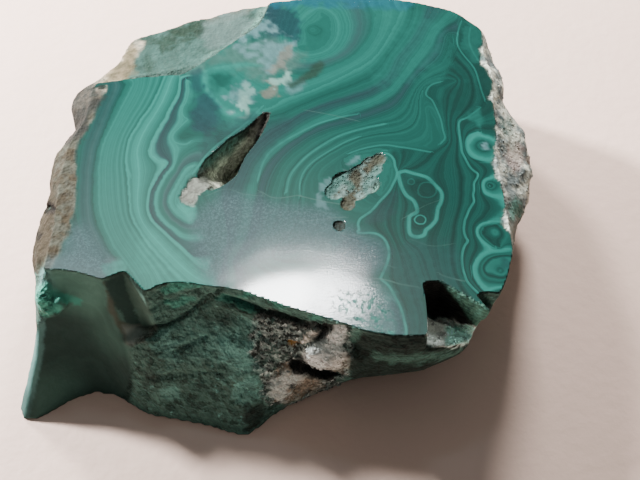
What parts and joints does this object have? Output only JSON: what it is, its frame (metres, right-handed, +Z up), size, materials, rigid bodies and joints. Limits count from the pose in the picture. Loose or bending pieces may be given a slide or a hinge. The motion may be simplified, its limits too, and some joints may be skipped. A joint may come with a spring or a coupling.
{
  "type": "polished malachite slab",
  "caption": "Thick slice of banded green malachite in its grey matrix, with a sawn and polished top, broken natural sides and a flat sawn back.",
  "frame": {"origin": "middle of the uncut stone's plan, on the flat back that it rests on", "axes": "+Z up, square to the polished face; +X to the right and +Y away from the viewer as the picture shows the slab"},
  "size_m": [0.0742, 0.0648, 0.02],
  "materials": {
    "malachite": "polished top with banded green growth layers, rough broken sides with grey and tan matrix, matte sawn back"
  },
  "bodies": {
    "root": {"malachite_slab": "malachite"}
  },
  "joints": []
}
